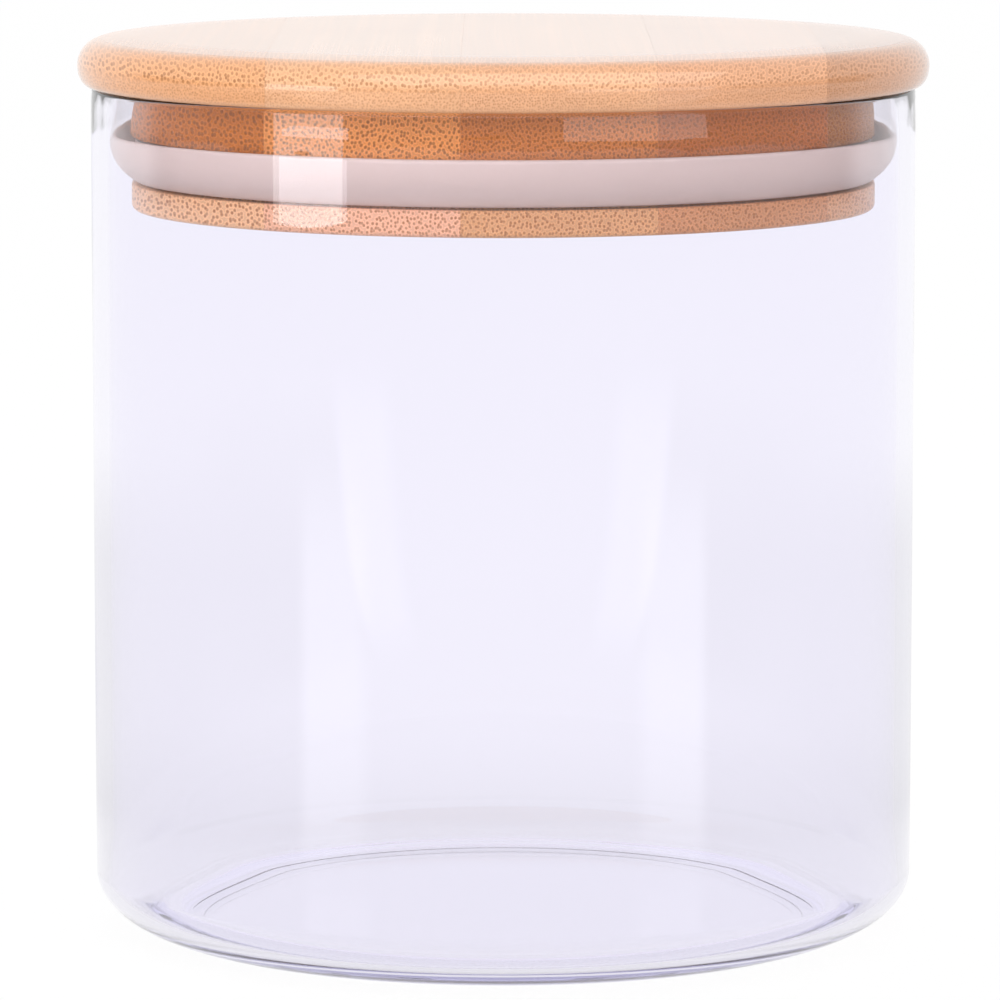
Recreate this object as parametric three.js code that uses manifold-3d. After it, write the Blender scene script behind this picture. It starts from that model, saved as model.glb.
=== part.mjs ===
// A lidded glass canister: a blown glass jar and a press-in lid turned from laminated bamboo,
// with a silicone lip seal in a groove round the lid's plug.
// Millimetres, +Z up. The origin is the centre of the jar's foot.

import * as THREE from "three";
import { mergeVertices } from "three/addons/utils/BufferGeometryUtils.js";
import Module from "manifold-3d";

// Jar
const jarDiameter = 100;
const jarHeight = 103.1;
const wallThickness = 2;
const floorThickness = 2.4;
const heelRun = 11; // how far the rounded heel reaches in from the wall
const heelRise = 7; // how far it reaches up the wall
const footWidth = 3; // the flat ring that the jar stands on
const puntSlope = 7; // the width of the slope from the foot up to the pushed-up middle
const puntRise = 1.4;
const innerHeelRun = 10;
const innerHeelRise = 8;
const rimRound = 0.6; // the fire-polished edges of the rim

// Lid: a cap board, with two equal boards glued under it that are turned to the plug
const capOverhang = 1.6; // how far the cap stands out past the glass
const capThickness = 5.95;
const capTopRound = 3.2;
const capBottomRise = 2.4; // the lower edge is a flat ellipse
const capBottomRun = 1.4;
const plugGap = 2.9; // between the plug and the inside of the glass, where the lip works
const neckHeight = 5.9; // plug above the seal groove
const grooveHeight = 5.6;
const grooveDepth = 2.1;
const flangeHeight = 3.2; // plug below the groove
const flangeRound = 0.7;
const leftStaveWidth = 24.2; // the board's staves, from the cap's left edge
const staveWidth = 22.5;
const wholeStaves = 2; // staves of that full width; the next one is ripped to close the board
const rightStaveWidth = 14;

// Seal ring
const sealClearance = 0.3; // ring to groove, all round
const lipClearance = 0.25; // lip to glass
const bandThickness = 1.3; // the band that sits in the groove
const lipThickness = 0.8;
const lipRoot = 1.4; // the lip leaves the band this far above its lower edge
const lipRise = 0.7; // its tip stands this far above the band
const lipBelly = 0.35; // how far up the lip is fullest, as a share of its height

// How finely round things are faceted
const facets = 72;
const heelSteps = 7;
const slopeSteps = 3;
const edgeSteps = 6;
const smallEdgeSteps = 3;

// Fits, worked out from the sizes above
const jarRadius = jarDiameter / 2;
const boreRadius = jarRadius - wallThickness;
const capRadius = jarRadius + capOverhang;
const plugRadius = boreRadius - plugGap;
const grooveRadius = plugRadius - grooveDepth;
const capBottom = jarHeight; // the cap rests on the rim
const capTop = capBottom + capThickness;
const plugDepth = neckHeight + grooveHeight + flangeHeight;
const plugBottom = capBottom - plugDepth;
const plugGlueLine = (capBottom + plugBottom) / 2; // hidden behind the seal ring
const grooveBottom = plugBottom + flangeHeight;
const grooveTop = grooveBottom + grooveHeight;

const wasm = await Module();
wasm.setup();

const glass = new THREE.MeshStandardMaterial({
  color: 0xf3f1fb,
  roughness: 0.03,
  metalness: 0,
  transparent: true,
  opacity: 0.35,
});
const silicone = new THREE.MeshStandardMaterial({ color: 0xd8cdd0, roughness: 0.45, metalness: 0 });
const bamboo = (colour) =>
  new THREE.MeshStandardMaterial({ color: colour, roughness: 0.38, metalness: 0 });
const capTones = [0xe9ad79, 0xf6cba3, 0xf3c29a, 0xefb790, 0xdba179];
const plugTones = [0xe0a877, 0xe9bd97, 0xe2aa82, 0xd59f79, 0xc99875];

// Points along a quarter of an ellipse about (r, z), from angle start to angle end in quarter turns.
function quarter(r, z, run, rise, start, end, steps) {
  const points = [];
  for (let i = 0; i <= steps; i++) {
    const angle = (start + ((end - start) * i) / steps) * (Math.PI / 2);
    points.push(new THREE.Vector2(r + run * Math.cos(angle), z + rise * Math.sin(angle)));
  }
  return points;
}

// A smooth step from one (r, z) to another, level at both ends.
function slope(r0, z0, r1, z1, steps) {
  const points = [];
  for (let i = 0; i <= steps; i++) {
    const t = i / steps;
    const eased = t * t * (3 - 2 * t);
    points.push(new THREE.Vector2(r0 + (r1 - r0) * t, z0 + (z1 - z0) * eased));
  }
  return points;
}

// Turns a profile of (radius, height) points about Z into a closed solid.
function turned(profile) {
  const apart = profile.filter((p, i) => i === 0 || p.distanceTo(profile[i - 1]) > 1e-6);
  const geometry = new THREE.LatheGeometry(apart, facets);
  geometry.rotateX(Math.PI / 2);
  return solid(geometry);
}

// A three.js geometry as a manifold solid: shared corners merged, collapsed triangles dropped.
function solid(geometry) {
  geometry.deleteAttribute("normal");
  geometry.deleteAttribute("uv");
  const merged = mergeVertices(geometry, 1e-4);
  const corners = merged.index.array;
  const triangles = [];
  for (let i = 0; i < corners.length; i += 3) {
    const [a, b, c] = corners.slice(i, i + 3);
    if (a !== b && b !== c && c !== a) triangles.push(a, b, c);
  }
  const mesh = new wasm.Mesh({
    numProp: 3,
    vertProperties: new Float32Array(merged.attributes.position.array),
    triVerts: new Uint32Array(triangles),
  });
  return new wasm.Manifold(mesh);
}

// A solid as a named three.js mesh.
function part(name, made, material) {
  const { vertProperties, triVerts } = made.getMesh();
  const geometry = new THREE.BufferGeometry();
  geometry.setAttribute("position", new THREE.BufferAttribute(vertProperties, 3));
  geometry.setIndex(new THREE.BufferAttribute(triVerts, 1));
  geometry.computeVertexNormals();
  const mesh = new THREE.Mesh(geometry, material);
  mesh.name = name;
  return mesh;
}

// The jar stands on a flat ring; inside it the base is pushed up, and outside it the heel rounds up.
function jarProfile() {
  const footOuter = jarRadius - heelRun;
  const footInner = footOuter - footWidth;
  const puntRadius = footInner - puntSlope;
  const floorTop = puntRise + floorThickness;
  const innerFoot = boreRadius - innerHeelRun;
  const innerHeel = [innerFoot, floorThickness + innerHeelRise];
  const rim = jarHeight - rimRound;
  return [
    new THREE.Vector2(0, puntRise),
    ...slope(puntRadius, puntRise, footInner, 0, slopeSteps),
    ...quarter(footOuter, heelRise, heelRun, heelRise, -1, 0, heelSteps),
    ...quarter(jarRadius - rimRound, rim, rimRound, rimRound, 0, 1, smallEdgeSteps),
    ...quarter(boreRadius + rimRound, rim, rimRound, rimRound, 1, 2, smallEdgeSteps),
    ...quarter(...innerHeel, innerHeelRun, innerHeelRise, 0, -1, heelSteps),
    ...slope(innerFoot, floorThickness, puntRadius, floorTop, slopeSteps),
    new THREE.Vector2(0, floorTop),
  ];
}

// The cap board: a disc with a rounded top edge and a softly rounded lower edge.
function capProfile() {
  const lowEdge = [capRadius - capBottomRun, capBottom + capBottomRise];
  const topEdge = [capRadius - capTopRound, capTop - capTopRound];
  return [
    new THREE.Vector2(0, capBottom),
    ...quarter(...lowEdge, capBottomRun, capBottomRise, -1, 0, edgeSteps),
    ...quarter(...topEdge, capTopRound, capTopRound, 0, 1, edgeSteps),
    new THREE.Vector2(0, capTop),
  ];
}

// The whole plug: flange at the bottom, the seal groove, and the neck up to the cap.
function plugProfile() {
  const lowEdge = [plugRadius - flangeRound, plugBottom + flangeRound];
  return [
    new THREE.Vector2(0, plugBottom),
    ...quarter(...lowEdge, flangeRound, flangeRound, -1, 0, smallEdgeSteps),
    new THREE.Vector2(plugRadius, grooveBottom),
    new THREE.Vector2(grooveRadius, grooveBottom),
    new THREE.Vector2(grooveRadius, grooveTop),
    new THREE.Vector2(plugRadius, grooveTop),
    new THREE.Vector2(plugRadius, capBottom),
    new THREE.Vector2(0, capBottom),
  ];
}

// The ring's section: a flat band in the groove, and a lip that curves up and out to the glass.
function sealProfile() {
  const bandInner = grooveRadius + sealClearance;
  const bandOuter = bandInner + bandThickness;
  const bottom = grooveBottom + sealClearance;
  const top = grooveTop - sealClearance;
  const root = bottom + lipRoot;
  const lipTop = top + lipRise;
  const tip = boreRadius - lipClearance;
  const belly = new THREE.Vector2(tip, bottom + lipBelly * (lipTop - bottom));
  const outer = new THREE.QuadraticBezierCurve(
    new THREE.Vector2(bandOuter, bottom),
    belly,
    new THREE.Vector2(tip, lipTop),
  );
  const inner = new THREE.QuadraticBezierCurve(
    new THREE.Vector2(tip - lipThickness, lipTop),
    new THREE.Vector2(belly.x - lipThickness, belly.y + lipThickness),
    new THREE.Vector2(bandOuter, root),
  );
  return [
    new THREE.Vector2(bandInner, bottom),
    ...outer.getPoints(edgeSteps),
    ...inner.getPoints(edgeSteps),
    new THREE.Vector2(bandOuter, top),
    new THREE.Vector2(bandInner, top),
    new THREE.Vector2(bandInner, bottom),
  ];
}

// X of the glue lines, the same in all three boards.
function seams() {
  const first = leftStaveWidth - capRadius;
  const last = capRadius - rightStaveWidth;
  const inner = Array.from({ length: wholeStaves }, (_, i) => first + (i + 1) * staveWidth);
  return [first, ...inner, last];
}

// The staves of one board, side by side along X, each cut from the turned blank between two seams.
function staves(blank, radius, low, high, name, tones) {
  const edges = [-radius, ...seams().filter((x) => Math.abs(x) < radius), radius];
  return edges.slice(1).map((right, i) => {
    const left = edges[i];
    const slab = new THREE.BoxGeometry(right - left, 2 * radius, high - low);
    slab.translate((left + right) / 2, 0, (low + high) / 2);
    const stave = blank.intersect(solid(slab));
    return part(`${name}_stave_${i + 1}`, stave, bamboo(tones[i % tones.length]));
  });
}

function lid() {
  const group = new THREE.Group();
  group.add(...staves(turned(capProfile()), capRadius, capBottom, capTop, "cap", capTones));
  const plug = turned(plugProfile());
  group.add(...staves(plug, plugRadius, plugGlueLine, capBottom, "neck", plugTones));
  group.add(...staves(plug, plugRadius, plugBottom, plugGlueLine, "flange", plugTones));
  return group;
}

const canister = new THREE.Group();
canister.add(part("glass_jar", turned(jarProfile()), glass));
canister.add(part("seal_ring", turned(sealProfile()), silicone));
canister.add(lid());

export default canister;
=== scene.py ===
import math
import bmesh
import bpy
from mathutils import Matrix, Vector


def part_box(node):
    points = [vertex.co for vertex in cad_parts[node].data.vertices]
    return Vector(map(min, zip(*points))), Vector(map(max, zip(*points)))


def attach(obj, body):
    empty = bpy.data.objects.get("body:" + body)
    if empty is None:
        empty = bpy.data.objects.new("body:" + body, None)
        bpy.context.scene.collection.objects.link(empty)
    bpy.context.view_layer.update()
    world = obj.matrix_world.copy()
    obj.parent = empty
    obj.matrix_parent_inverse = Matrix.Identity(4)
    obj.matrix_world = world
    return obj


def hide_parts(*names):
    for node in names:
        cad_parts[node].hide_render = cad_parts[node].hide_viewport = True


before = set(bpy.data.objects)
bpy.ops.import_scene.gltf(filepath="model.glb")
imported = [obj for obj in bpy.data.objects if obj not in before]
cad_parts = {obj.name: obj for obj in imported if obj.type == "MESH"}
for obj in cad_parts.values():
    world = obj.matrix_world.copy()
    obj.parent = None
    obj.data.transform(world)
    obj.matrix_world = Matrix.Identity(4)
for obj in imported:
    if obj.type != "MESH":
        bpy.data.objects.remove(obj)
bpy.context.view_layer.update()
mm = 0.001
print("frame loaded")


def addNode(tree, kind, x, y, **settings):
    # one node at a readable place, with its plain properties set
    node = tree.nodes.new(kind)
    node.location = (x, y)
    for key, value in settings.items():
        setattr(node, key, value)
    return node


def feed(tree, socket, value):
    # a socket takes another node's output, or a plain value
    if hasattr(value, "is_output"):
        tree.links.new(value, socket)
    else:
        socket.default_value = value


def feedAll(tree, node, values):
    for name, value in values.items():
        feed(tree, node.inputs[name], value)
    return node


def addSocket(tree, name, kind, direction="INPUT", value=None):
    socket = tree.interface.new_socket(name=name, in_out=direction, socket_type=kind)
    if value is not None:
        socket.default_value = value
    return socket


def mathNode(tree, operation, x, y, first, second=None, third=None, clamp=False):
    # a Math node whose inputs are sockets or plain numbers
    node = addNode(tree, "ShaderNodeMath", x, y, operation=operation, use_clamp=clamp)
    for index, value in enumerate((first, second, third)):
        if value is not None:
            feed(tree, node.inputs[index], value)
    return node.outputs[0]


def vectorNode(tree, operation, x, y, first, second=None):
    # the same for a Vector Math node
    node = addNode(tree, "ShaderNodeVectorMath", x, y, operation=operation)
    feed(tree, node.inputs[0], first)
    if second is not None:
        feed(tree, node.inputs[1], second)
    return node.outputs["Value" if operation == "LENGTH" else "Vector"]


def splitNode(tree, x, y, vector):
    # the X, Y and Z of a vector
    node = addNode(tree, "ShaderNodeSeparateXYZ", x, y)
    tree.links.new(vector, node.inputs[0])
    return node.outputs


def quarterArc(r, z, run, rise, start, end, steps):
    # points (radius, height) along quarters of an ellipse, angles in quarter turns
    points = []
    for i in range(steps + 1):
        angle = (start + (end - start) * i / steps) * math.pi / 2
        points.append((r + run * math.cos(angle), z + rise * math.sin(angle)))
    return points


def bezier(p0, p1, p2, steps):
    points = []
    for i in range(steps + 1):
        t = i / steps
        a, b, c = (1 - t) ** 2, 2 * t * (1 - t), t * t
        points.append((a * p0[0] + b * p1[0] + c * p2[0], a * p0[1] + b * p1[1] + c * p2[1]))
    return points


def apart(points, least=0.002):
    # drops points that repeat the one before
    kept = [points[0]]
    for p in points[1:]:
        if math.hypot(p[0] - kept[-1][0], p[1] - kept[-1][1]) > least:
            kept.append(p)
    return kept


def ease(value, start, end):
    # 0 at start, 1 at end, soft at both
    t = min(1, max(0, (value - start) / (end - start)))
    return t * t * (3 - 2 * t)


def buildTurnTree():
    # a lathe: any profile of (radius, height) points spun about Z
    tree = bpy.data.node_groups.new("turnOnLathe", "GeometryNodeTree")
    addSocket(tree, "Profile", "NodeSocketGeometry")
    addSocket(tree, "Facets", "NodeSocketInt", value=192)
    addSocket(tree, "Weld", "NodeSocketFloat", value=0.000001)
    addSocket(tree, "Finish", "NodeSocketMaterial")
    addSocket(tree, "Turned", "NodeSocketGeometry", "OUTPUT")
    given = addNode(tree, "NodeGroupInput", -1200, 0).outputs
    size = addNode(tree, "GeometryNodeAttributeDomainSize", -1000, 200, component="MESH")
    feed(tree, size.inputs[0], given["Profile"])
    rows = size.outputs["Point Count"]
    columns = mathNode(tree, "ADD", -1000, 0, given["Facets"], 1)
    grid = addNode(tree, "GeometryNodeMeshGrid", -800, 200)
    feedAll(tree, grid, {"Vertices X": columns, "Vertices Y": rows})
    # a grid vertex's index gives its column (the angle) and its row (the profile point)
    index = addNode(tree, "GeometryNodeInputIndex", -1000, -200).outputs[0]
    ratio = mathNode(tree, "DIVIDE", -800, -100, index, rows)
    nudged = mathNode(tree, "ADD", -720, -260, ratio, 0.0001)  # so that a whole ratio doesn't round down
    column = mathNode(tree, "FLOOR", -640, -100, nudged)
    before = mathNode(tree, "MULTIPLY", -560, -300, column, rows)
    row = mathNode(tree, "SUBTRACT", -480, -200, index, before)
    turn = mathNode(tree, "DIVIDE", -480, -60, column, given["Facets"])
    angle = mathNode(tree, "MULTIPLY", -320, -60, turn, 2 * math.pi)
    place = addNode(tree, "GeometryNodeInputPosition", -480, 120).outputs[0]
    pick = addNode(tree, "GeometryNodeSampleIndex", -300, 160, data_type="FLOAT_VECTOR", domain="POINT")
    feedAll(tree, pick, {"Geometry": given["Profile"], "Value": place, "Index": row})
    spot = splitNode(tree, -120, 160, pick.outputs["Value"])
    cosine = mathNode(tree, "COSINE", -120, -40, angle)
    sine = mathNode(tree, "SINE", -120, -180, angle)
    spun = feedAll(tree, addNode(tree, "ShaderNodeCombineXYZ", 220, 60), {
        "X": mathNode(tree, "MULTIPLY", 60, 60, spot["X"], cosine),
        "Y": mathNode(tree, "MULTIPLY", 60, -80, spot["X"], sine),
        "Z": spot["Z"],
    })
    move = addNode(tree, "GeometryNodeSetPosition", 400, 200)
    feedAll(tree, move, {"Geometry": grid.outputs["Mesh"], "Position": spun.outputs[0]})
    weld = addNode(tree, "GeometryNodeMergeByDistance", 580, 200)
    feedAll(tree, weld, {"Geometry": move.outputs[0], "Distance": given["Weld"]})
    real = addNode(tree, "GeometryNodeRealizeInstances", 740, 200)
    feed(tree, real.inputs[0], weld.outputs[0])
    paint = addNode(tree, "GeometryNodeSetMaterial", 900, 200)
    feedAll(tree, paint, {"Geometry": real.outputs[0], "Material": given["Finish"]})
    out = addNode(tree, "NodeGroupOutput", 1060, 200)
    feed(tree, out.inputs[0], paint.outputs[0])
    return tree


turnTree = buildTurnTree()


def turned(name, profile, facets, finish):
    # spins a profile given in millimetres and returns the finished mesh
    line = bpy.data.meshes.new(name + "Profile")
    points = [(r * mm, 0, z * mm) for r, z in profile]
    line.from_pydata(points, [(i, i + 1) for i in range(len(points) - 1)], [])
    blank = bpy.data.objects.new(name + "Blank", line)
    bpy.context.scene.collection.objects.link(blank)
    lathe = blank.modifiers.new("lathe", "NODES")
    lathe.node_group = turnTree
    wanted = {"Facets": facets, "Finish": finish}
    for item in turnTree.interface.items_tree:
        if item.in_out == "INPUT" and item.name in wanted:
            lathe[item.identifier] = wanted[item.name]
    graph = bpy.context.evaluated_depsgraph_get()
    mesh = bpy.data.meshes.new_from_object(blank.evaluated_get(graph), depsgraph=graph)
    bpy.data.objects.remove(blank)
    bpy.data.meshes.remove(line)
    mesh.name = name
    faceOutwards(mesh)
    return mesh


def faceOutwards(mesh):
    shape = bmesh.new()
    shape.from_mesh(mesh)
    bmesh.ops.dissolve_degenerate(shape, dist=1e-8, edges=shape.edges)
    if shape.calc_volume(signed=True) < 0:
        bmesh.ops.reverse_faces(shape, faces=shape.faces)
    shape.to_mesh(mesh)
    shape.free()


def smoothShade(mesh, sharpFrom=35):
    mesh.polygons.foreach_set("use_smooth", [True] * len(mesh.polygons))
    mesh.set_sharp_from_angle(angle=math.radians(sharpFrom))
    mesh.update()


def addPiece(name, mesh, body, node):
    piece = bpy.data.objects.new(name, mesh)
    bpy.context.scene.collection.objects.link(piece)
    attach(piece, body)
    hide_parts(node)
    return piece


def newMaterial(name):
    material = bpy.data.materials.new(name)
    material.use_nodes = True
    tree = material.node_tree
    tree.nodes.clear()
    out = addNode(tree, "ShaderNodeOutputMaterial", 600, 0)
    shader = addNode(tree, "ShaderNodeBsdfPrincipled", 300, 0)
    tree.links.new(shader.outputs[0], out.inputs["Surface"])
    return material, tree, shader


def surfacePoint(tree):
    # object coordinates in millimetres
    where = addNode(tree, "ShaderNodeTexCoord", -1400, 0)
    grow = addNode(tree, "ShaderNodeMapping", -1220, 0, vector_type="POINT")
    feedAll(tree, grow, {"Scale": (1 / mm,) * 3, "Vector": where.outputs["Object"]})
    return grow.outputs[0]


def stretched(tree, x, y, vector, scale):
    return vectorNode(tree, "MULTIPLY", x, y, vector, scale)


def noise(tree, x, y, vector, scale=1, detail=2, rough=0.5):
    node = addNode(tree, "ShaderNodeTexNoise", x, y)
    feedAll(tree, node, {"Scale": scale, "Detail": detail, "Roughness": rough, "Vector": vector})
    return node.outputs


def ramped(tree, x, y, value, start, end):
    # a soft step from 0 at start to 1 at end
    node = addNode(tree, "ShaderNodeMapRange", x, y, interpolation_type="SMOOTHSTEP")
    feedAll(tree, node, {
        "Value": value, "From Min": min(start, end), "From Max": max(start, end),
        "To Min": 0 if start < end else 1, "To Max": 1 if start < end else 0,
    })
    return node.outputs[0]


def rampNode(tree, x, y, stops, source, kind="LINEAR"):
    # a Color Ramp from (position, grey) stops
    ramp = addNode(tree, "ShaderNodeValToRGB", x, y)
    ramp.color_ramp.interpolation = kind
    spots = ramp.color_ramp.elements
    while len(spots) < len(stops):
        spots.new(1)
    for spot, (position, grey) in zip(spots, stops):
        spot.position = position
        spot.color = (grey, grey, grey, 1)
    tree.links.new(source, ramp.inputs[0])
    return ramp.outputs[0]


def mixColour(tree, x, y, blend, share, first, second):
    # a colour Mix node whose inputs are sockets or plain values
    node = addNode(tree, "ShaderNodeMix", x, y, data_type="RGBA", blend_type=blend)
    for index, value in ((0, share), (6, first), (7, second)):
        feed(tree, node.inputs[index], value)
    return node.outputs[2]


def bumpNode(tree, x, y, height, depth):
    node = addNode(tree, "ShaderNodeBump", x, y)
    feedAll(tree, node, {"Strength": 1, "Distance": depth, "Height": height})
    return node.outputs[0]


# clear glass: long waves all over, and short ones where the neck was cut and melted
glassLook = {
    "tint": (0.952, 0.941, 0.995, 1), "refraction": 1.47, "body": (0.3, 0.25, 0.8, 1), "density": 8.0,
    "waviness": 0.02, "waveLength": 30.0, "bumpDepth": 0.001,
    "rimWaviness": 0.06, "rimWaveLength": 7.0, "rimStretch": (1, 1, 0.4), "rimFrom": 97.0, "rimTo": 100.0,
}


def glassMaterial():
    look = glassLook
    material, tree, shader = newMaterial("clearGlass")
    point = surfacePoint(tree)
    wave = noise(tree, -600, -200, point, 1 / look["waveLength"], 1)["Fac"]
    tall = stretched(tree, -800, -450, point, look["rimStretch"])
    short = noise(tree, -600, -450, tall, 1 / look["rimWaveLength"], 1)["Fac"]
    height = splitNode(tree, -900, -650, point)["Z"]
    high = ramped(tree, -600, -650, height, look["rimFrom"], look["rimTo"])
    melted = mathNode(tree, "MULTIPLY", -400, -550, short, high)
    calm = mathNode(tree, "MULTIPLY", -400, -250, wave, look["waviness"])
    both = mathNode(tree, "MULTIPLY_ADD", -300, -400, melted, look["rimWaviness"], calm)
    feedAll(tree, shader, {
        "Base Color": look["tint"], "Roughness": 0, "IOR": look["refraction"], "Transmission Weight": 1,
        "Normal": bumpNode(tree, -200, -250, both, look["bumpDepth"]),
    })
    depth = addNode(tree, "ShaderNodeVolumeAbsorption", 300, -500)
    feedAll(tree, depth, {"Color": look["body"], "Density": look["density"]})
    tree.links.new(depth.outputs[0], tree.nodes["Material Output"].inputs["Volume"])
    return material


# milky silicone; its warm pinkish tint is painted bounce light from the bamboo behind it
siliconeLook = {
    "Base Color": (0.67, 0.535, 0.48, 1), "Roughness": 0.5, "IOR": 1.41,
    "Subsurface Weight": 0.1, "Subsurface Radius": (0.001, 0.001, 0.001), "Subsurface Scale": 1,
}


def siliconeMaterial():
    material, tree, shader = newMaterial("milkySilicone")
    feedAll(tree, shader, siliconeLook)
    return material


# fibre bundles: where the dark core and the pale halo round it end, in shares of their spacing
bundleLook = {
    "irregular": 0.8, "tall": 1.2, "faintest": 0.6,
    "core": [(0.16, 1.0), (0.46, 0.0)], "halo": [(0.3, 0.0), (0.46, 1.0), (0.64, 0.0)],
}


def buildBundleTree():
    # one size of fibre bundle: dark dots across the grain, long lines along it
    look = bundleLook
    tree = bpy.data.node_groups.new("fibreBundles", "ShaderNodeTree")
    addSocket(tree, "Point", "NodeSocketVector")
    addSocket(tree, "Spacing", "NodeSocketFloat", value=0.95)
    addSocket(tree, "Dot", "NodeSocketFloat", "OUTPUT")
    addSocket(tree, "Halo", "NodeSocketFloat", "OUTPUT")
    given = addNode(tree, "NodeGroupInput", -900, 0).outputs
    out = addNode(tree, "NodeGroupOutput", 900, 0)
    spot = splitNode(tree, -700, 0, given["Point"])
    tall = mathNode(tree, "MULTIPLY", -500, -200, given["Spacing"], look["tall"])
    flat = feedAll(tree, addNode(tree, "ShaderNodeCombineXYZ", -180, 0), {
        "X": mathNode(tree, "DIVIDE", -500, 100, spot["X"], given["Spacing"]),
        "Y": mathNode(tree, "DIVIDE", -340, -100, spot["Z"], tall),
    })
    cells = addNode(tree, "ShaderNodeTexVoronoi", 0, 0, voronoi_dimensions="2D", feature="F1")
    feedAll(tree, cells, {"Scale": 1, "Randomness": look["irregular"], "Vector": flat.outputs[0]})
    shade = addNode(tree, "ShaderNodeSeparateColor", 200, -200)
    feed(tree, shade.inputs[0], cells.outputs["Color"])
    least = look["faintest"]
    strength = mathNode(tree, "MULTIPLY_ADD", 380, -200, shade.outputs[0], 1 - least, least)
    core = rampNode(tree, 200, 150, look["core"], cells.outputs["Distance"], "EASE")
    feedAll(tree, out, {
        "Dot": mathNode(tree, "MULTIPLY", 600, 100, core, strength),
        "Halo": rampNode(tree, 200, -450, look["halo"], cells.outputs["Distance"], "EASE"),
    })
    return tree


# bamboo grain: stretches are per millimetre, and turnCoarse is where fine bundles turn into coarse ones
grainLook = {
    "wanderStretch": (0.09, 0.008, 0.09), "wander": (2.2, 0, 1.0), "fineSpacing": 0.6,
    "nodeReach": 0.2, "nodeBand": [(0.0, 1.0), (0.12, 0.75), (0.5, 0.25), (1.0, 0.0)],
    "nodeShade": 0.5, "nodeTint": (0.86, 0.66, 0.48, 1), "turnCoarse": (-0.8, 0.9),
    "driftStretch": (0.12, 0.02, 0.25), "drift": 0.26, "driftLeast": 0.87,
    "streakStretch": (2.4, 0.03, 2.4), "streak": 0.14, "streakLeast": 0.93,
    "grainStretch": (5.0, 0.6, 5.0), "grain": 0.6, "flatCalm": -0.4, "haloGain": 0.26,
    "roughLeast": 0.36, "roughSwing": 0.16, "pitDepth": -0.6, "grainHeight": 0.8,
}


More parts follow.
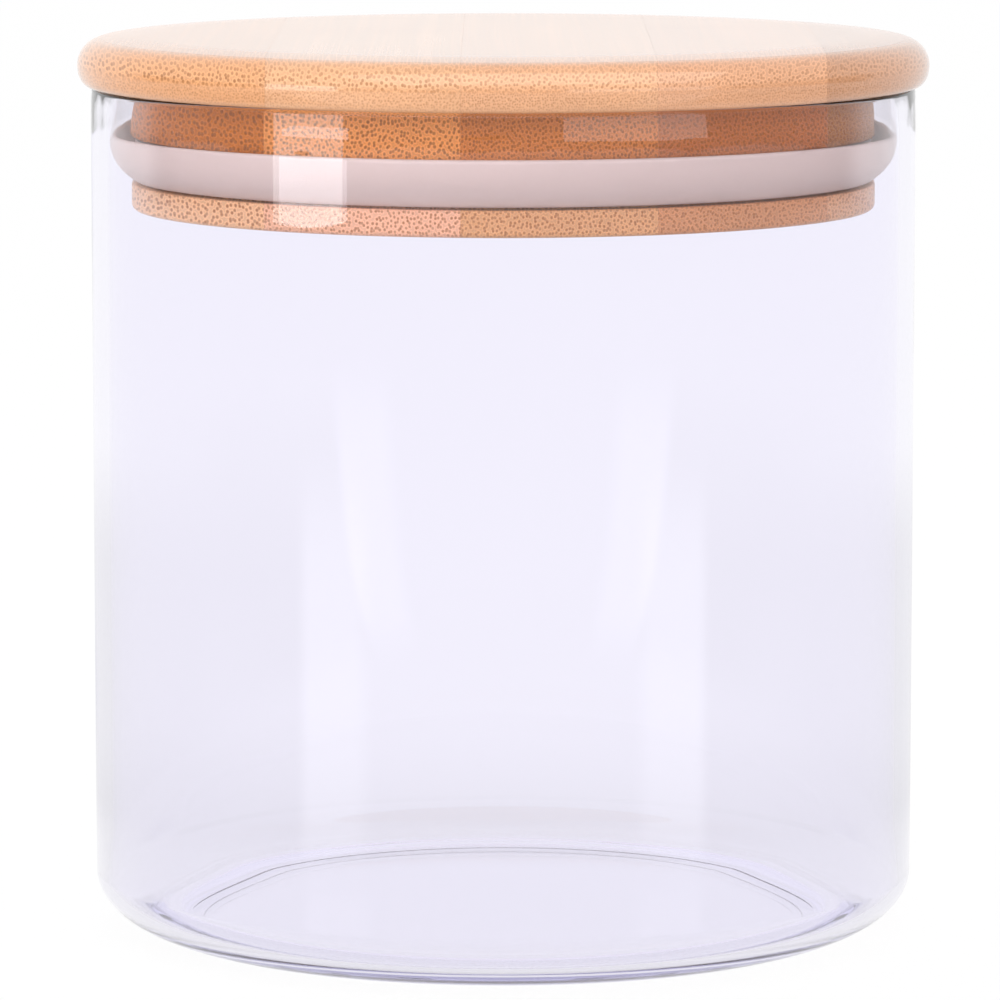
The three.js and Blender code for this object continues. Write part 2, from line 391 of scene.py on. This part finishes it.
def buildBambooTree():
    # laminated bamboo, fibres along Y: bundles, pale halos round them, fine fibre streaks, nodes and shade
    look = grainLook
    tree = bpy.data.node_groups.new("bambooGrain", "ShaderNodeTree")
    addSocket(tree, "Point", "NodeSocketVector")
    addSocket(tree, "Tone", "NodeSocketColor", value=(0.8, 0.5, 0.3, 1))
    addSocket(tree, "Bundle Colour", "NodeSocketColor", value=(0.35, 0.15, 0.05, 1))
    addSocket(tree, "Boldness", "NodeSocketFloat", value=0.7)
    addSocket(tree, "Fine Boldness", "NodeSocketFloat", value=0.4)
    addSocket(tree, "Coarse Above", "NodeSocketFloat", value=105.0)
    addSocket(tree, "Spacing", "NodeSocketFloat", value=0.95)
    addSocket(tree, "Node Place", "NodeSocketFloat", value=500.0)
    addSocket(tree, "Flat Face", "NodeSocketFloat", value=0.0)
    addSocket(tree, "Colour", "NodeSocketColor", "OUTPUT")
    addSocket(tree, "Roughness", "NodeSocketFloat", "OUTPUT")
    addSocket(tree, "Height", "NodeSocketFloat", "OUTPUT")
    given = addNode(tree, "NodeGroupInput", -2000, 0).outputs
    out = addNode(tree, "NodeGroupOutput", 1600, 0)
    point = given["Point"]

    def bundles(y, spacing):
        node = addNode(tree, "ShaderNodeGroup", -1000, y)
        node.node_tree = bundleTree
        feedAll(tree, node, {"Point": bent, "Spacing": spacing})
        return node.outputs

    def streaks(y, vector, stretch, detail, rough=0.5):
        drawn = stretched(tree, -1200, y, vector, look[stretch])
        return noise(tree, -1000, y, drawn, 1, detail, rough)["Fac"]

    # a slow wander, so that the bundles aren't ruled lines
    slow = stretched(tree, -2000, -300, point, look["wanderStretch"])
    centred = vectorNode(tree, "SUBTRACT", -1600, -300, noise(tree, -1800, -300, slow)["Color"], (0.5,) * 3)
    push = stretched(tree, -1440, -300, centred, look["wander"])
    bent = vectorNode(tree, "ADD", -1280, -100, point, push)
    # the node of the culm: a narrow darker band across the grain
    place = splitNode(tree, -1800, 300, bent)
    fromNode = mathNode(tree, "SUBTRACT", -1600, 400, place["Y"], given["Node Place"])
    distance = mathNode(tree, "ABSOLUTE", -1520, 400, fromNode)
    closeness = mathNode(tree, "MULTIPLY", -1440, 400, distance, look["nodeReach"])
    band = rampNode(tree, -1280, 450, look["nodeBand"], closeness, "EASE")
    # bundles: coarse in the upper part of the board, fine below
    coarse = bundles(100, given["Spacing"])
    fine = bundles(-200, mathNode(tree, "MULTIPLY", -1160, -260, given["Spacing"], look["fineSpacing"]))
    depth = mathNode(tree, "SUBTRACT", -1300, 220, place["Z"], given["Coarse Above"])
    share = ramped(tree, -1000, 320, depth, *look["turnCoarse"])
    rest = mathNode(tree, "SUBTRACT", -820, 320, 1.0, share)
    bigDots = mathNode(tree, "MULTIPLY", -740, 120, coarse["Dot"], share)
    bigDots = mathNode(tree, "MULTIPLY", -640, 200, bigDots, given["Boldness"])
    smallDots = mathNode(tree, "MULTIPLY", -740, -160, fine["Dot"], rest)
    smallDots = mathNode(tree, "MULTIPLY", -640, -100, smallDots, given["Fine Boldness"])
    upright = mathNode(tree, "MULTIPLY_ADD", -640, -260, given["Flat Face"], -1, 1)
    allDots = mathNode(tree, "MAXIMUM", -460, 50, bigDots, smallDots)
    dots = mathNode(tree, "MULTIPLY", -300, 50, allDots, upright)
    bigHalo = mathNode(tree, "MULTIPLY", -640, 420, coarse["Halo"], share)
    # ground tone: broad drift, long fibre streaks and fine grain
    drift = streaks(-500, point, "driftStretch", 2)
    streak = streaks(-700, bent, "streakStretch", 3, 0.6)
    grain = streaks(-900, bent, "grainStretch", 3, 0.65)
    drifted = mathNode(tree, "MULTIPLY_ADD", -780, -500, drift, look["drift"], look["driftLeast"])
    streaked = mathNode(tree, "MULTIPLY_ADD", -780, -700, streak, look["streak"], look["streakLeast"])
    flat = given["Flat Face"]
    contrast = mathNode(tree, "MULTIPLY_ADD", -1000, -1100, flat, look["flatCalm"], look["grain"])
    swing = mathNode(tree, "SUBTRACT", -880, -900, grain, 0.5)
    grained = mathNode(tree, "MULTIPLY_ADD", -780, -900, swing, contrast, 1)
    ground = mathNode(tree, "MULTIPLY", -600, -600, drifted, streaked)
    ground = mathNode(tree, "MULTIPLY", -440, -700, ground, grained)
    lifted = mathNode(tree, "MULTIPLY_ADD", -280, -400, bigHalo, look["haloGain"], ground)
    scaled = addNode(tree, "ShaderNodeVectorMath", -80, -200, operation="SCALE")
    feed(tree, scaled.inputs[0], given["Tone"])
    feed(tree, scaled.inputs["Scale"], lifted)
    shade = mathNode(tree, "MULTIPLY", -60, 300, band, look["nodeShade"])
    banded = mixColour(tree, 120, -100, "MULTIPLY", shade, scaled.outputs[0], look["nodeTint"])
    grainHeight = mathNode(tree, "MULTIPLY", 240, -600, grain, look["grainHeight"])
    pits = mathNode(tree, "MULTIPLY_ADD", 400, -500, dots, look["pitDepth"], grainHeight)
    feedAll(tree, out, {
        "Colour": mixColour(tree, 320, 0, "MIX", dots, banded, given["Bundle Colour"]),
        "Roughness": mathNode(tree, "MULTIPLY_ADD", 400, -300, grain, look["roughSwing"], look["roughLeast"]),
        "Height": mathNode(tree, "MULTIPLY", 560, -500, pits, upright),
    })
    return tree


bundleTree = buildBundleTree()
bambooTree = buildBambooTree()

# what all the staves share; each stave's grain is taken from another place, its seed times the step away
bambooLook = {
    "refraction": 1.5, "glossRoughness": 0.11, "glossRefraction": 1.5, "pitDepth": 0.00006,
    "step": (31.7, 83.1, 0), "bundle": (0.33, 0.12, 0.02), "plugBundle": (0.34, 0.11, 0.02),
}


def bambooMaterial(name, look):
    material, tree, shader = newMaterial(name)
    moved = [look["seed"] * step for step in bambooLook["step"]]
    shift = addNode(tree, "ShaderNodeMapping", -1000, 0, vector_type="POINT")
    feedAll(tree, shift, {"Location": moved, "Vector": surfacePoint(tree)})
    facing = addNode(tree, "ShaderNodeTexCoord", -1200, -300)
    upright = splitNode(tree, -1000, -300, facing.outputs["Normal"])["Z"]
    wood = addNode(tree, "ShaderNodeGroup", -500, 0)
    wood.node_tree = bambooTree
    feedAll(tree, wood, {
        "Point": shift.outputs[0],
        "Tone": (*look["tone"], 1),
        "Bundle Colour": (*look["bundle"], 1),
        "Boldness": look["bold"],
        "Fine Boldness": look["fineBold"],
        "Coarse Above": look["coarseFrom"],
        "Spacing": look["spacing"],
        "Node Place": look["node"] + moved[1],
        "Flat Face": mathNode(tree, "MULTIPLY", -700, -300, upright, upright),
    })
    feedAll(tree, shader, {
        "Base Color": wood.outputs["Colour"],
        "Roughness": wood.outputs["Roughness"],
        "Normal": bumpNode(tree, -100, -300, wood.outputs["Height"], bambooLook["pitDepth"]),
        "IOR": bambooLook["refraction"],
        "Specular IOR Level": look["sheen"],
        "Coat Weight": look["gloss"],
        "Coat Roughness": bambooLook["glossRoughness"],
        "Coat IOR": bambooLook["glossRefraction"],
    })
    return material


print("finishes ready")

# the jar, in millimetres; the rings and facets are how finely it is turned
jarSizes = {
    "wall": 2.0, "heelRun": 11.0, "heelRise": 7.0, "heelWall": 1.6, "heelEase": 8.0, "heelTop": 14.0,
    "puntRise": 1.4, "floor": 2.2, "bulge": 0.8, "bulgeRadius": 41.0, "bulgeWidth": 3.0,
    "rimRound": 0.6, "rimTaper": 0.045, "taperFrom": 98.5,
    "bowlRings": 52, "heelRings": 48, "wallRings": 60, "facets": 256,
}
jarLow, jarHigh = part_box("glass_jar")
jarRadius = (jarHigh[0] - jarLow[0]) / 2 / mm
jarHeight = jarHigh[2] / mm
boreRadius = jarRadius - jarSizes["wall"]


def wall(radius, start, end, rings, taper=0.0, taperFrom=0.0):
    # an upright wall in many rings, so that its shading stays upright; it may lean in towards its end
    points = []
    for i in range(rings + 1):
        z = start + (end - start) * i / rings
        above = max(0, z - taperFrom)
        points.append((radius - taper * above * above / (2 * (end - taperFrom)), z))
    return points


def glassThickness(s, r, z):
    # the floor's, a swelling where the heel begins, thinner round the heel, then the wall's own
    foot = jarRadius - s["heelRun"]
    heel = s["floor"] + (s["heelWall"] - s["floor"]) * ease(r, foot, foot + s["heelEase"])
    swelling = s["bulge"] * math.exp(-((r - s["bulgeRadius"]) / s["bulgeWidth"]) ** 2)
    return heel + (s["wall"] - heel) * ease(z, 0, s["heelTop"]) + swelling


def jarProfile(s):
    # the outside from the middle of the pushed-up base to the wall, and the inside the glass's thickness in
    foot = jarRadius - s["heelRun"]
    rings = s["bowlRings"]
    outside = [(foot * i / rings, s["puntRise"] * (1 - (i / rings) ** 2)) for i in range(rings)]
    outside += quarterArc(foot, s["heelRise"], s["heelRun"], s["heelRise"], -1, 0, s["heelRings"])
    outside += wall(jarRadius, s["heelRise"], s["heelTop"], 12)
    outside = apart(outside, 0.01)
    inside = []
    for i, (r, z) in enumerate(outside):
        before, after = outside[max(0, i - 1)], outside[min(len(outside) - 1, i + 1)]
        run, rise = after[0] - before[0], after[1] - before[1]
        depth = glassThickness(s, r, z) / math.hypot(run, rise)
        inside.append((max(0, r - rise * depth), z + run * depth))
    edge = s["rimRound"]
    rim = jarHeight - edge
    outerWall = wall(jarRadius, s["heelTop"], rim, s["wallRings"], s["rimTaper"], s["taperFrom"])
    return apart([
        *outside,
        *outerWall,
        *quarterArc(outerWall[-1][0] - edge, rim, edge, edge, 0, 1, 12),
        *quarterArc(boreRadius + edge, rim, edge, edge, 1, 2, 12),
        *wall(boreRadius, rim, s["heelTop"], s["wallRings"]),
        *reversed(inside),
    ])


jarMesh = turned("glassJar", jarProfile(jarSizes), jarSizes["facets"], glassMaterial())
smoothShade(jarMesh)
jarPiece = addPiece("glassJar", jarMesh, "jar", "glass_jar")
jarPiece.visible_shadow = False  # clear glass lets the lamps' light in to the lid's plug
print("jar turned")

# the bamboo lid, in millimetres
lidSizes = {
    "topRound": 3.2, "shoulder": 7.0, "droop": 0.3, "lowRise": 2.4, "lowRun": 1.4,
    "groove": 5.6, "grooveDepth": 2.1, "grooveEdge": 0.25, "flange": 3.2, "flangeRound": 0.7,
    "glueGap": 0.012, "facets": 384,
}
capLow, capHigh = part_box("cap_stave_1")
capRadius = -capLow[0] / mm
capBottom = capLow[2] / mm
capTop = capHigh[2] / mm
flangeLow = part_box("flange_stave_1")[0]
plugRadius = -flangeLow[0] / mm
plugBottom = flangeLow[2] / mm
grooveRadius = plugRadius - lidSizes["grooveDepth"]
grooveBottom = plugBottom + lidSizes["flange"]
grooveTop = grooveBottom + lidSizes["groove"]


def capProfile(s):
    # the top droops a little towards its rounded edge
    edge = s["topRound"]
    inner = capRadius - edge - s["shoulder"]
    lean = math.degrees(math.atan(2 * s["droop"] / s["shoulder"]))
    reach = capRadius - edge + edge * math.sin(math.radians(lean)) - inner
    steps = [t / 12 for t in range(12, -1, -1)]
    return apart([
        (0, capBottom),
        *quarterArc(capRadius - s["lowRun"], capBottom + s["lowRise"], s["lowRun"], s["lowRise"], -1, 0, 14),
        *quarterArc(capRadius - edge, capTop - s["droop"] - edge, edge, edge, 0, 1 - lean / 90, 18),
        *[(inner + reach * t, capTop - s["droop"] * t ** 2) for t in steps],
        (0, capTop),
    ])


def plugProfile(s):
    low, edge = s["flangeRound"], s["grooveEdge"]
    return apart([
        (0, plugBottom),
        *quarterArc(plugRadius - low, plugBottom + low, low, low, -1, 0, 8),
        *quarterArc(plugRadius - edge, grooveBottom - edge, edge, edge, 0, 1, 4),
        (grooveRadius, grooveBottom), (grooveRadius, grooveTop),
        *quarterArc(plugRadius - edge, grooveTop + edge, edge, edge, -1, 0, 4),
        (plugRadius, capBottom), (0, capBottom),
    ])


def cutStave(blank, low, high, gap):
    # keeps the part of a turned blank inside a stave's box and closes the sawn faces
    shape = bmesh.new()
    shape.from_mesh(blank)
    for axis, inset in ((0, gap), (2, 0)):
        for corner, side in ((low, -1), (high, 1)):
            point = Vector((0, 0, 0))
            point[axis] = corner[axis] - side * inset
            normal = Vector((0, 0, 0))
            normal[axis] = side
            everything = shape.verts[:] + shape.edges[:] + shape.faces[:]
            cut = bmesh.ops.bisect_plane(shape, geom=everything, plane_co=point, plane_no=normal,
                                         clear_outer=True, dist=1e-7)
            edges = [e for e in cut["geom_cut"] if isinstance(e, bmesh.types.BMEdge)]
            openEdges = [e for e in edges if e.is_boundary]
            if openEdges:
                bmesh.ops.contextual_create(shape, geom=openEdges)
    bmesh.ops.triangulate(shape, faces=[f for f in shape.faces if len(f.verts) > 4])
    mesh = bpy.data.meshes.new("stave")
    shape.to_mesh(mesh)
    shape.free()
    return mesh


# each stave was a strip of its own culm: its tone, how bold its coarse and fine bundles are and how far
# apart, and where along it the culm had a node; the neck's tones also carry painted shade
noNode = 500  # past the stave's end
staveLooks = {
    "cap": [
        {"tone": (0.63, 0.288, 0.117), "bold": 1.0, "fineBold": 0.62, "spacing": 0.53, "node": noNode},
        {"tone": (0.645, 0.325, 0.158), "bold": 0.86, "fineBold": 0.62, "spacing": 0.52, "node": 6},
        {"tone": (0.635, 0.315, 0.156), "bold": 0.75, "fineBold": 0.75, "spacing": 0.48, "node": noNode},
        {"tone": (0.622, 0.3, 0.151), "bold": 0.7, "fineBold": 0.65, "spacing": 0.45, "node": 14},
        {"tone": (0.505, 0.235, 0.112), "bold": 0.8, "fineBold": 0.75, "spacing": 0.46, "node": noNode},
    ],
    # the neck's tones are darker and more saturated than its wood: painted shade and warm bounce light of the
    # recess under the cap, darkest on stave 1
    "neck": [
        {"tone": (0.555, 0.173, 0.024), "bold": 1.0, "fineBold": 0.62, "spacing": 0.56, "node": noNode},
        {"tone": (0.77, 0.3, 0.077), "bold": 0.92, "fineBold": 0.62, "spacing": 0.5, "node": noNode},
        {"tone": (0.6, 0.2, 0.043), "bold": 0.92, "fineBold": 0.62, "spacing": 0.46, "node": noNode},
        {"tone": (0.496, 0.15, 0.034), "bold": 0.92, "fineBold": 0.62, "spacing": 0.46, "node": noNode},
        {"tone": (0.41, 0.155, 0.034), "bold": 0.92, "fineBold": 0.62, "spacing": 0.46, "node": noNode},
    ],
    "flange": [
        {"tone": (0.69, 0.37, 0.184), "bold": 1.0, "fineBold": 0.62, "spacing": 0.54, "node": noNode},
        {"tone": (0.7, 0.355, 0.212), "bold": 0.92, "fineBold": 0.5, "spacing": 0.46, "node": -12},
        {"tone": (0.6, 0.288, 0.118), "bold": 0.92, "fineBold": 0.5, "spacing": 0.46, "node": noNode},
        {"tone": (0.52, 0.215, 0.083), "bold": 0.92, "fineBold": 0.62, "spacing": 0.45, "node": noNode},
        {"tone": (0.56, 0.262, 0.116), "bold": 0.92, "fineBold": 0.5, "spacing": 0.45, "node": noNode},
    ],
}
# the three boards: coarse bundles start at coarseFrom, and the cap has the thickest lacquer
boards = {
    "cap": {
        "profile": capProfile, "coarseFrom": capBottom + 2.4, "bundle": bambooLook["bundle"],
        "seed": 1, "gloss": 1.0, "sheen": 0.5,
    },
    "neck": {
        "profile": plugProfile, "coarseFrom": capBottom - 9, "bundle": bambooLook["plugBundle"],
        "seed": 11, "gloss": 0.0, "sheen": 0.15,
    },
    "flange": {
        "profile": plugProfile, "coarseFrom": plugBottom - 2, "bundle": bambooLook["plugBundle"],
        "seed": 21, "gloss": 0.3, "sheen": 0.3,
    },
}


def makeBoard(name, board):
    blank = turned(name + "Blank", board["profile"](lidSizes), lidSizes["facets"], None)
    for i, staveLook in enumerate(staveLooks[name]):
        node = f"{name}_stave_{i + 1}"
        low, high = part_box(node)
        mesh = cutStave(blank, low, high, lidSizes["glueGap"] * mm / 2)
        mesh.name = f"{name}Stave{i + 1}"
        smoothShade(mesh)
        look = {**board, **staveLook, "seed": board["seed"] + i}
        mesh.materials.append(bambooMaterial(mesh.name, look))
        addPiece(mesh.name, mesh, "lid", node)
    bpy.data.meshes.remove(blank)


for boardName, boardSettings in boards.items():
    makeBoard(boardName, boardSettings)
print("lid turned and cut into staves")

# the silicone seal, in millimetres
sealSizes = {
    "play": 0.3, "lipPlay": 0.25, "band": 1.3, "lip": 0.8, "root": 1.4, "rise": 0.7, "belly": 0.35,
    "facets": 256,
}


def sealProfile(s):
    # a flat band in the groove, and a lip that curves up and out to the glass
    bandInner = grooveRadius + s["play"]
    bandOuter = bandInner + s["band"]
    bottom = grooveBottom + s["play"]
    top = grooveTop - s["play"]
    lipTop = top + s["rise"]
    tip = boreRadius - s["lipPlay"]
    belly = (tip, bottom + s["belly"] * (lipTop - bottom))
    inner = (tip - s["lip"], belly[1] + s["lip"])
    half = s["lip"] / 2
    return [
        (bandInner, bottom),
        *bezier((bandOuter, bottom), belly, (tip, lipTop - half), 24),
        *quarterArc(tip - half, lipTop - half, half, half, 0, 2, 12)[1:-1],
        *bezier((tip - s["lip"], lipTop - half), inner, (bandOuter, bottom + s["root"]), 24),
        (bandOuter, top), (bandInner, top), (bandInner, bottom),
    ]


sealMesh = turned("sealRing", sealProfile(sealSizes), sealSizes["facets"], siliconeMaterial())
smoothShade(sealMesh)
addPiece("sealRing", sealMesh, "seal", "seal_ring")
print("seal moulded")

# the studio, in metres: pairs run from where a soft edge starts to where it is complete
studio = {
    "floorSize": 12.0, "floorDrop": 0.0001, "floorColour": (0.97, 0.97, 0.97, 1), "floorGlow": 0.92,
    "worldFill": 1.0, "leftLean": 0.18, "roomShade": 0.15, "tableEdge": (1.05, 1.15), "roomSide": (0.5, 0.3),
    "worldSide": (0.55, 0.3), "worldTop": (0.208, 0.087),
    # the grey and the reach below paint a shadow of the jar and lid on the table, seen through the glass
    "paintedShadowGrey": 0.89, "paintedShadow": (0.2, 0.08), "mirrorDepth": 0.029,
    "wing": 1.6, "nearPart": (0.55, 0.35), "footPart": (0.09, 0.14),
}
# painted light and shade on the table, seen only in the mirror of the glass: how bright it is from behind the
# jar (0) round to its front (1), a painted pool of softbox light in front and painted shade at the sides
paintedTableLight = [
    (0.0, 0.86), (0.25, 0.8), (0.45, 0.6), (0.755, 0.6), (0.775, 1.6), (0.87, 1.6), (0.9, 1.0), (1.0, 1.0),
]
white = (1, 1, 1, 1)


def grey(level):
    return (level, level, level, 1)


def lightPath(tree, x, y):
    # two masks: rays that show the surface itself, and those of them that were mirrored once
    path = addNode(tree, "ShaderNodeLightPath", x, y).outputs
    gloss = mathNode(tree, "MAXIMUM", x + 200, y, path["Is Camera Ray"], path["Is Glossy Ray"])
    seen = mathNode(tree, "MAXIMUM", x + 400, y, gloss, path["Is Transmission Ray"])
    mirrored = mathNode(tree, "COMPARE", x + 400, y - 160, path["Glossy Depth"], 1, 0.5)
    return seen, mirrored


def mixShaders(tree, out, share, first, second):
    mix = addNode(tree, "ShaderNodeMixShader", 300, 0)
    for index, value in enumerate((share, first.outputs[0], second.outputs[0])):
        tree.links.new(value, mix.inputs[index])
    tree.links.new(mix.outputs[0], out.inputs[0])


def floorMaterial():
    # a white table; mirrored rays find its front edge and the dark room beyond it
    material = bpy.data.materials.new("paleFloor")
    material.use_nodes = True
    tree = material.node_tree
    tree.nodes.clear()
    out = addNode(tree, "ShaderNodeOutputMaterial", 600, 0)
    matt = addNode(tree, "ShaderNodeBsdfDiffuse", 0, 100)
    glow = addNode(tree, "ShaderNodeEmission", 0, -100)
    seen, mirrored = lightPath(tree, -1200, -250)
    where = addNode(tree, "ShaderNodeTexCoord", -1200, 250).outputs["Object"]
    shifted = vectorNode(tree, "ADD", -1100, 450, where, (0, studio["mirrorDepth"], 0))
    away = vectorNode(tree, "LENGTH", -1000, 450, shifted)
    depth = mathNode(tree, "ADD", -950, 150, splitNode(tree, -1000, 250, where)["Y"], studio["mirrorDepth"])
    behind = mathNode(tree, "DIVIDE", -900, 250, depth, away)
    beyond = ramped(tree, -800, 450, away, *studio["tableEdge"])
    room = mathNode(tree, "MULTIPLY", -500, 350, beyond, ramped(tree, -700, 250, behind, *studio["roomSide"]))
    dark = mathNode(tree, "MULTIPLY", -600, 0, room, mirrored)
    shade = mixColour(tree, -500, 100, "MIX", dark, white, grey(studio["roomShade"]))
    # painted shadow: the table seen through the glass is a little greyer near its foot, standing in for the
    # soft shadow of the jar and lid
    path = addNode(tree, "ShaderNodeLightPath", -800, -500)
    through = mathNode(tree, "MINIMUM", -600, -500, path.outputs["Transmission Depth"], 1)
    paintedShadow = ramped(tree, -800, 650, away, *studio["paintedShadow"])
    paintedShadowBehindGlass = mathNode(tree, "MULTIPLY", -450, -400, paintedShadow, through)
    shaded = mixColour(tree, -300, -100, "MULTIPLY", paintedShadowBehindGlass, shade, grey(studio["paintedShadowGrey"]))
    # mirrored, it carries a painted pool of light in front between the softboxes and painted shade at the
    # sides
    wing = studio["wing"]
    aside = mathNode(tree, "MULTIPLY_ADD", -700, 900, behind, -0.5, 0.5)
    level = rampNode(tree, -500, 900, [(place, glowing / wing) for place, glowing in paintedTableLight], aside)
    lit = mixColour(tree, -200, 900, "MULTIPLY", 1.0, level, grey(wing))
    close = ramped(tree, -500, 1100, away, *studio["nearPart"])
    clear = ramped(tree, -500, 1300, away, *studio["footPart"])
    ring = mathNode(tree, "MULTIPLY", -300, 1200, close, clear)
    ring = mathNode(tree, "MULTIPLY", -200, 1100, ring, mirrored)
    fronted = mixColour(tree, 0, 900, "MIX", ring, white, lit)
    feed(tree, glow.inputs["Color"], mixColour(tree, 200, 700, "MULTIPLY", 1.0, shaded, fronted))
    floorShade = mixColour(tree, -300, 200, "MULTIPLY", 1.0, studio["floorColour"], shade)
    feed(tree, matt.inputs["Color"], floorShade)
    mixShaders(tree, out, mathNode(tree, "MULTIPLY", 100, -250, seen, studio["floorGlow"]), matt, glow)
    return material


def makeFloor():
    mesh = bpy.data.meshes.new("floor")
    half = studio["floorSize"] / 2
    corners = [(-half, -half), (half, -half), (half, half), (-half, half)]
    mesh.from_pydata([(x, y, -studio["floorDrop"]) for x, y in corners], [], [(0, 1, 2, 3)])
    mesh.materials.append(floorMaterial())
    floor = bpy.data.objects.new("floor", mesh)
    bpy.context.scene.collection.objects.link(floor)


def makeWorld():
    # white all round; mirrored rays find a dark room on the camera's side
    world = bpy.data.worlds.new("studio")
    bpy.context.scene.world = world
    world.use_nodes = True
    tree = world.node_tree
    tree.nodes.clear()
    out = addNode(tree, "ShaderNodeOutputWorld", 600, 0)
    fill = addNode(tree, "ShaderNodeBackground", 0, 100)
    shown = addNode(tree, "ShaderNodeBackground", 0, -100)
    seen, mirrored = lightPath(tree, -1200, -250)
    where = addNode(tree, "ShaderNodeTexCoord", -1200, 250)
    spot = splitNode(tree, -1000, 250, where.outputs["Generated"])
    leaning = mathNode(tree, "MULTIPLY_ADD", -300, 250, spot["X"], -studio["leftLean"], studio["worldFill"])
    feedAll(tree, fill, {"Color": white, "Strength": leaning})
    side = ramped(tree, -800, 350, spot["Y"], *studio["worldSide"])
    low = ramped(tree, -800, 150, spot["Z"], *studio["worldTop"])
    room = mathNode(tree, "MULTIPLY", -500, 250, side, low)
    dark = mathNode(tree, "MULTIPLY", -600, 0, room, mirrored)
    shade = mixColour(tree, -300, 0, "MIX", dark, white, grey(studio["roomShade"]))
    feed(tree, shown.inputs["Color"], shade)
    mixShaders(tree, out, seen, fill, shown)


# softboxes: azimuth is left (-) or right (+) of the camera, low is the height of the lower edge;
# the low boxes are mirrored in the glass, and the fills above them would glare on the lid's top
softboxes = {
    "leftSoftbox": {
        "azimuth": -53.5, "distance": 0.7, "low": 0.03, "width": 0.255, "tall": 0.2, "radiance": 4,
    },
    "leftFill": {
        "azimuth": -53.5, "distance": 0.7, "low": 0.23, "width": 0.255, "tall": 0.4, "radiance": 4,
        "glossy": False,
    },
    "rightSoftbox": {
        "azimuth": 36, "distance": 0.9, "low": 0.05, "width": 0.65, "tall": 0.18, "radiance": 2,
    },
    "rightFill": {
        "azimuth": 36, "distance": 0.9, "low": 0.23, "width": 0.65, "tall": 0.42, "radiance": 2,
        "glossy": False,
    },
    "topSoftbox": {
        "azimuth": 12, "distance": 0.65, "low": 0.45, "width": 1.8, "tall": 1.0, "radiance": 1.6,
        "aim": jarHeight * mm, "diffuse": False,
    },
}


def addSoftbox(name, azimuth, distance, low, width, tall, radiance, aim=None, glossy=True, diffuse=True):
    # faces the jar level, or aims at a height on its axis
    lamp = bpy.data.lights.new(name, "AREA")
    lamp.shape = "RECTANGLE"
    lamp.size = width
    lamp.size_y = tall
    lamp.energy = radiance * math.pi * width * tall
    # it isn't mirrored again by the glass behind the first wall
    lamp.use_nodes = True
    tree = lamp.node_tree
    path = addNode(tree, "ShaderNodeLightPath", -800, 0).outputs
    inside = mathNode(tree, "GREATER_THAN", -600, -100, path["Transmission Depth"], 2.5)
    again = mathNode(tree, "MULTIPLY", -400, 0, inside, path["Glossy Depth"])
    many = mathNode(tree, "GREATER_THAN", -600, 100, path["Glossy Depth"], 1.5)
    hidden = mathNode(tree, "MAXIMUM", -300, 0, again, many)
    shown = mathNode(tree, "SUBTRACT", -200, 0, 1, hidden, clamp=True)
    feed(tree, tree.nodes["Emission"].inputs["Strength"], shown)
    box = bpy.data.objects.new(name, lamp)
    box.visible_camera = False
    box.visible_glossy = glossy
    box.visible_diffuse = diffuse
    bpy.context.scene.collection.objects.link(box)
    turn = math.radians(azimuth)
    box.location = (distance * math.sin(turn), -distance * math.cos(turn), low + tall / 2)
    aimed = Vector((0, 0, box.location.z if aim is None else aim)) - box.location
    box.rotation_euler = aimed.to_track_quat("-Z", "Y").to_euler()


makeFloor()
makeWorld()
for boxName, boxSettings in softboxes.items():
    addSoftbox(boxName, **boxSettings)

camera = {
    "distance": 0.797, "height": 0.1579, "pitch": 0.132, "side": -0.0004,
    "lens": 236.5, "sensor": 36, "near": 0.01, "far": 50,
}
view = bpy.data.cameras.new("camera")
view.lens = camera["lens"]
view.sensor_width = camera["sensor"]
view.clip_start = camera["near"]
view.clip_end = camera["far"]
eye = bpy.data.objects.new("camera", view)
bpy.context.scene.collection.objects.link(eye)
eye.location = (camera["side"], -camera["distance"], camera["height"])
eye.rotation_euler = (math.pi / 2 - camera["pitch"], 0, 0)
bpy.context.scene.camera = eye
bpy.context.scene.view_settings.view_transform = "Standard"
bounces = 40  # enough to go through every wall of the glass
bpy.context.scene.cycles.max_bounces = bounces
bpy.context.scene.cycles.glossy_bounces = bounces
bpy.context.scene.cycles.transmission_bounces = bounces
print("studio lit")
